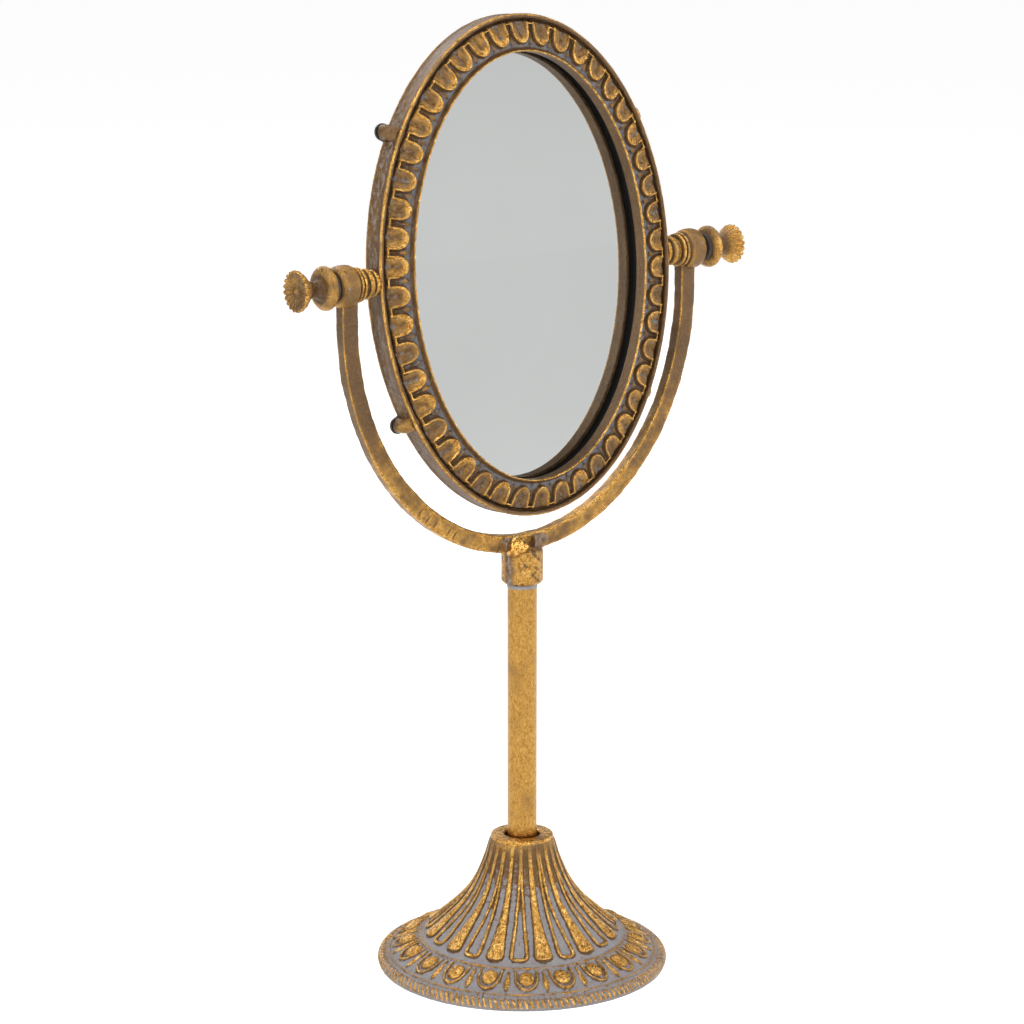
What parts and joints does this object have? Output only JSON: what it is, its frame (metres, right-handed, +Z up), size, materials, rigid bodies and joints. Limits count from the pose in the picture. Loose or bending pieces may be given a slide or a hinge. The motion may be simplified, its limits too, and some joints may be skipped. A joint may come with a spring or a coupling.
{
  "type": "swivel table mirror",
  "caption": "Oval swivel mirror in an antiqued gold ornamental frame, held between two clamp knobs in a U-shaped yoke on a slim stem and a round fluted foot.",
  "frame": {"origin": "middle of the round foot, on the surface it stands on", "axes": "+Z up; the mirror faces -Y; the tilt axis runs along X"},
  "size_m": [0.2535, 0.1402, 0.4566],
  "materials": {
    "antique_gold": "antiqued, rubbed",
    "gold_bar": "antiqued gold paint",
    "steel": "plain",
    "black_metal": "satin black",
    "black_rubber": "matt",
    "silvered_glass": "polished",
    "card": "plain",
    "felt": "matt"
  },
  "bodies": {
    "stand": {"base": "antique_gold", "base_felt": "felt", "base_washer": "steel", "base_nut": "steel", "stem": "gold_bar", "stem_ring": "steel", "tie_rod": "steel", "yoke_hub": "antique_gold", "yoke_bar": "gold_bar", "hub_bud": "antique_gold", "left_boss": "antique_gold", "right_boss": "antique_gold"},
    "mirror_head": {"frame_band": "antique_gold", "ornament_ring": "antique_gold", "glass_gasket": "black_rubber", "mirror_glass": "silvered_glass", "backing_board": "card", "back_plate": "black_metal", "back_clips": "black_metal", "clip_screws": "black_metal", "left_stud": "steel", "right_stud": "steel", "left_collar": "antique_gold", "right_collar": "antique_gold"},
    "left_clamp": {"left_washer": "black_rubber"},
    "left_knob": {"left_knob": "antique_gold"},
    "right_clamp": {"right_washer": "black_rubber"},
    "right_knob": {"right_knob": "antique_gold"}
  },
  "joints": [
    {"name": "mirror_tilt", "type": "hinge", "parent": "stand", "child": "mirror_head", "pos_m": [0, 0, 0.3403], "axis": [1, 0, 0], "continuous": true},
    {"name": "left_clamp_slide", "type": "slide", "parent": "mirror_head", "child": "left_clamp", "axis": [-1, 0, 0], "range_m": [0, 0.0022]},
    {"name": "left_knob_turn", "type": "hinge", "parent": "left_clamp", "child": "left_knob", "pos_m": [-0.1099, 0, 0.3403], "axis": [-1, 0, 0], "range_deg": [0, 1080]},
    {"name": "right_clamp_slide", "type": "slide", "parent": "mirror_head", "child": "right_clamp", "axis": [1, 0, 0], "range_m": [-0.0024, 0.0008]},
    {"name": "right_knob_turn", "type": "hinge", "parent": "right_clamp", "child": "right_knob", "pos_m": [0.1124, 0, 0.3403], "axis": [1, 0, 0], "range_deg": [-1080, 360]}
  ],
  "couplings": [
    {"joint": "left_clamp_slide", "follows": "left_knob_turn", "m_per_rad": 0.00011141},
    {"joint": "right_clamp_slide", "follows": "right_knob_turn", "m_per_rad": 0.00011141}
  ]
}
